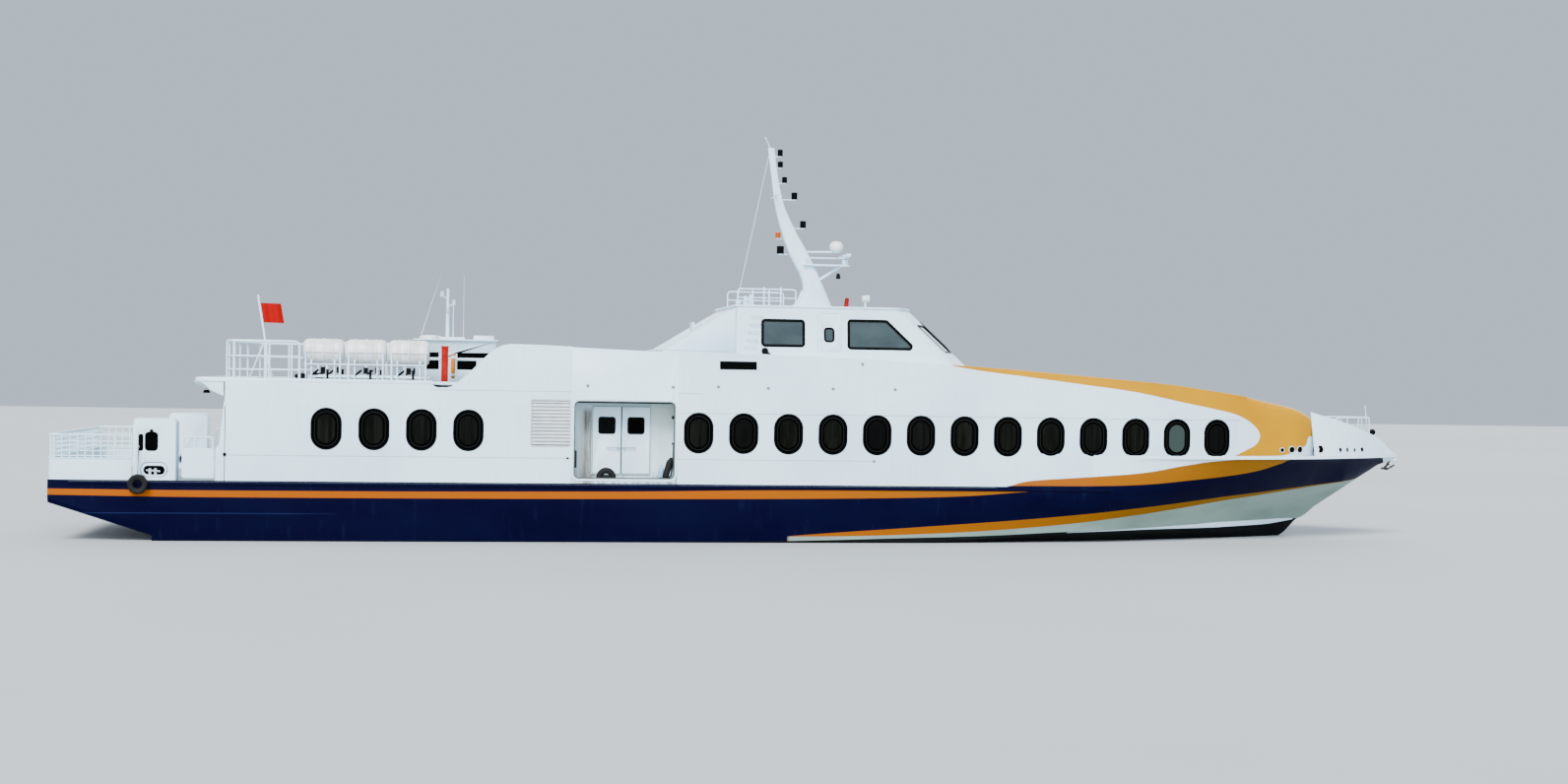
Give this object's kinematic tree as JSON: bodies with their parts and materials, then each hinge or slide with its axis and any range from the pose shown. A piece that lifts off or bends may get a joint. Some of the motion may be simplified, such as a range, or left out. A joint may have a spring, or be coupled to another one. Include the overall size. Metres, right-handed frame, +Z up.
{
  "type": "high-speed monohull passenger ferry",
  "caption": "Slender aluminium fast passenger ferry with a long saloon, raked wheelhouse, mast, liferafts, side boarding recesses, twin screws and rudders.",
  "frame": {"origin": "on the centreline amidships at the waterline", "axes": "+X to the bow, +Y to port, +Z up; the keel lies along X"},
  "size_m": [39.16, 7.139, 13.3962],
  "materials": {
    "white_paint": "gloss marine enamel on aluminium plate",
    "navy_paint": "gloss navy topside enamel, antifouling below the waterline",
    "gold_paint": "gloss golden-yellow enamel",
    "bare_alloy": "mill-finish marine aluminium",
    "bronze": "machined nickel-aluminium bronze",
    "black_rubber": "weathered black rubber",
    "black_iron": "black painted cast iron",
    "raft_shell": "white moulded glass-fibre shell",
    "red_gel": "red moulded locker",
    "orange_cover": "orange moulded float and seat",
    "ensign_cloth": "woven polyester bunting"
  },
  "bodies": {
    "root": {"hull": "navy_paint", "bow_bulwark": "white_paint", "nose_shell": "gold_paint", "saloon_side_aft_starboard": "white_paint", "boarding_recess_starboard": "white_paint", "saloon_side_forward_starboard": "white_paint", "saloon_side_aft_port": "white_paint", "boarding_recess_port": "white_paint", "saloon_side_forward_port": "white_paint", "saloon_aft_wall": "white_paint", "upper_deck": "white_paint", "house_roof": "white_paint", "raised_house_bulkhead": "white_paint", "wheelhouse_shell": "white_paint", "companion_fairing": "white_paint", "wheelhouse_roof": "white_paint", "mast": "white_paint", "radar_dome": "white_paint", "aft_mast": "white_paint", "upper_deck_rail": "white_paint", "ensign_staff": "white_paint", "ensign": "ensign_cloth", "raft_cradle_starboard": "bare_alloy", "liferaft_starboard_1": "raft_shell", "liferaft_starboard_2": "raft_shell", "liferaft_starboard_3": "raft_shell", "deck_bench_starboard": "orange_cover", "lifebuoy_starboard": "orange_cover", "side_locker_starboard": "white_paint", "shaft_line_starboard": "bare_alloy", "raft_cradle_port": "bare_alloy", "liferaft_port_1": "raft_shell", "liferaft_port_2": "raft_shell", "liferaft_port_3": "raft_shell", "deck_bench_port": "orange_cover", "lifebuoy_port": "orange_cover", "side_locker_port": "white_paint", "shaft_line_port": "bare_alloy", "air_hood": "white_paint", "fire_locker": "red_gel", "stern_bulwark_rail": "white_paint", "tyre_fender": "black_rubber", "bow_pulpit": "white_paint", "windlass": "black_iron", "anchor": "black_iron"},
    "side_door_aft_starboard": {"side_door_aft_starboard": "white_paint"},
    "side_door_forward_starboard": {"side_door_forward_starboard": "white_paint"},
    "wheelhouse_door_starboard": {"wheelhouse_door_starboard": "white_paint"},
    "boarding_gate_starboard": {"boarding_gate_starboard": "white_paint"},
    "propeller_starboard": {"propeller_starboard": "bronze"},
    "rudder_starboard": {"rudder_starboard": "bare_alloy"},
    "side_door_aft_port": {"side_door_aft_port": "white_paint"},
    "side_door_forward_port": {"side_door_forward_port": "white_paint"},
    "wheelhouse_door_port": {"wheelhouse_door_port": "white_paint"},
    "boarding_gate_port": {"boarding_gate_port": "white_paint"},
    "propeller_port": {"propeller_port": "bronze"},
    "rudder_port": {"rudder_port": "bare_alloy"},
    "saloon_aft_door": {"saloon_aft_door": "white_paint"},
    "companion_door": {"companion_door": "white_paint"},
    "radar_scanner": {"radar_scanner": "white_paint"}
  },
  "joints": [
    {"name": "side_door_aft_starboard_hinge", "type": "hinge", "parent": "root", "child": "side_door_aft_starboard", "pos_m": [-5.355, -2.716, 0], "axis": [0, 0, -1], "range_deg": [0, 95]},
    {"name": "side_door_forward_starboard_hinge", "type": "hinge", "parent": "root", "child": "side_door_forward_starboard", "pos_m": [-3.725, -2.716, 0], "axis": [0, 0, 1], "range_deg": [0, 95]},
    {"name": "wheelhouse_door_starboard_hinge", "type": "hinge", "parent": "root", "child": "wheelhouse_door_starboard", "pos_m": [1.634, -2.592, 0], "axis": [0, 0, 1], "range_deg": [0, 90]},
    {"name": "boarding_gate_starboard_hinge", "type": "hinge", "parent": "root", "child": "boarding_gate_starboard", "pos_m": [-15.34, -3.385, 0], "axis": [0, 0, -1], "range_deg": [0, 100]},
    {"name": "propeller_starboard_spin", "type": "hinge", "parent": "root", "child": "propeller_starboard", "pos_m": [-15.7, -1.5, -1.33], "axis": [0.9946, 0, 0.1035], "continuous": true},
    {"name": "rudder_starboard_steer", "type": "hinge", "parent": "root", "child": "rudder_starboard", "pos_m": [-16.5, -1.5, 0], "axis": [0, 0, 1], "range_deg": [-35, 35]},
    {"name": "side_door_aft_port_hinge", "type": "hinge", "parent": "root", "child": "side_door_aft_port", "pos_m": [-5.355, 2.716, 0], "axis": [0, 0, 1], "range_deg": [0, 95]},
    {"name": "side_door_forward_port_hinge", "type": "hinge", "parent": "root", "child": "side_door_forward_port", "pos_m": [-3.725, 2.716, 0], "axis": [0, 0, -1], "range_deg": [0, 95]},
    {"name": "wheelhouse_door_port_hinge", "type": "hinge", "parent": "root", "child": "wheelhouse_door_port", "pos_m": [1.634, 2.592, 0], "axis": [0, 0, -1], "range_deg": [0, 90]},
    {"name": "boarding_gate_port_hinge", "type": "hinge", "parent": "root", "child": "boarding_gate_port", "pos_m": [-15.34, 3.385, 0], "axis": [0, 0, 1], "range_deg": [0, 100]},
    {"name": "propeller_port_spin", "type": "hinge", "parent": "root", "child": "propeller_port", "pos_m": [-15.7, 1.5, -1.33], "axis": [0.9946, 0, 0.1035], "continuous": true},
    {"name": "rudder_port_steer", "type": "hinge", "parent": "root", "child": "rudder_port", "pos_m": [-16.5, 1.5, 0], "axis": [0, 0, 1], "range_deg": [-35, 35]},
    {"name": "saloon_aft_door_hinge", "type": "hinge", "parent": "root", "child": "saloon_aft_door", "pos_m": [-15.146, 0.48, 0], "axis": [0, 0, -1], "range_deg": [0, 100]},
    {"name": "companion_door_hinge", "type": "hinge", "parent": "root", "child": "companion_door", "pos_m": [-2.349, 0.395, 0], "axis": [0, 0, -1], "range_deg": [0, 88]},
    {"name": "radar_scanner_spin", "type": "hinge", "parent": "root", "child": "radar_scanner", "pos_m": [2.18, 0, 8.1], "axis": [0, 0, 1], "continuous": true}
  ],
  "couplings": [
    {"joint": "rudder_port_steer", "follows": "rudder_starboard_steer", "ratio": 1}
  ]
}
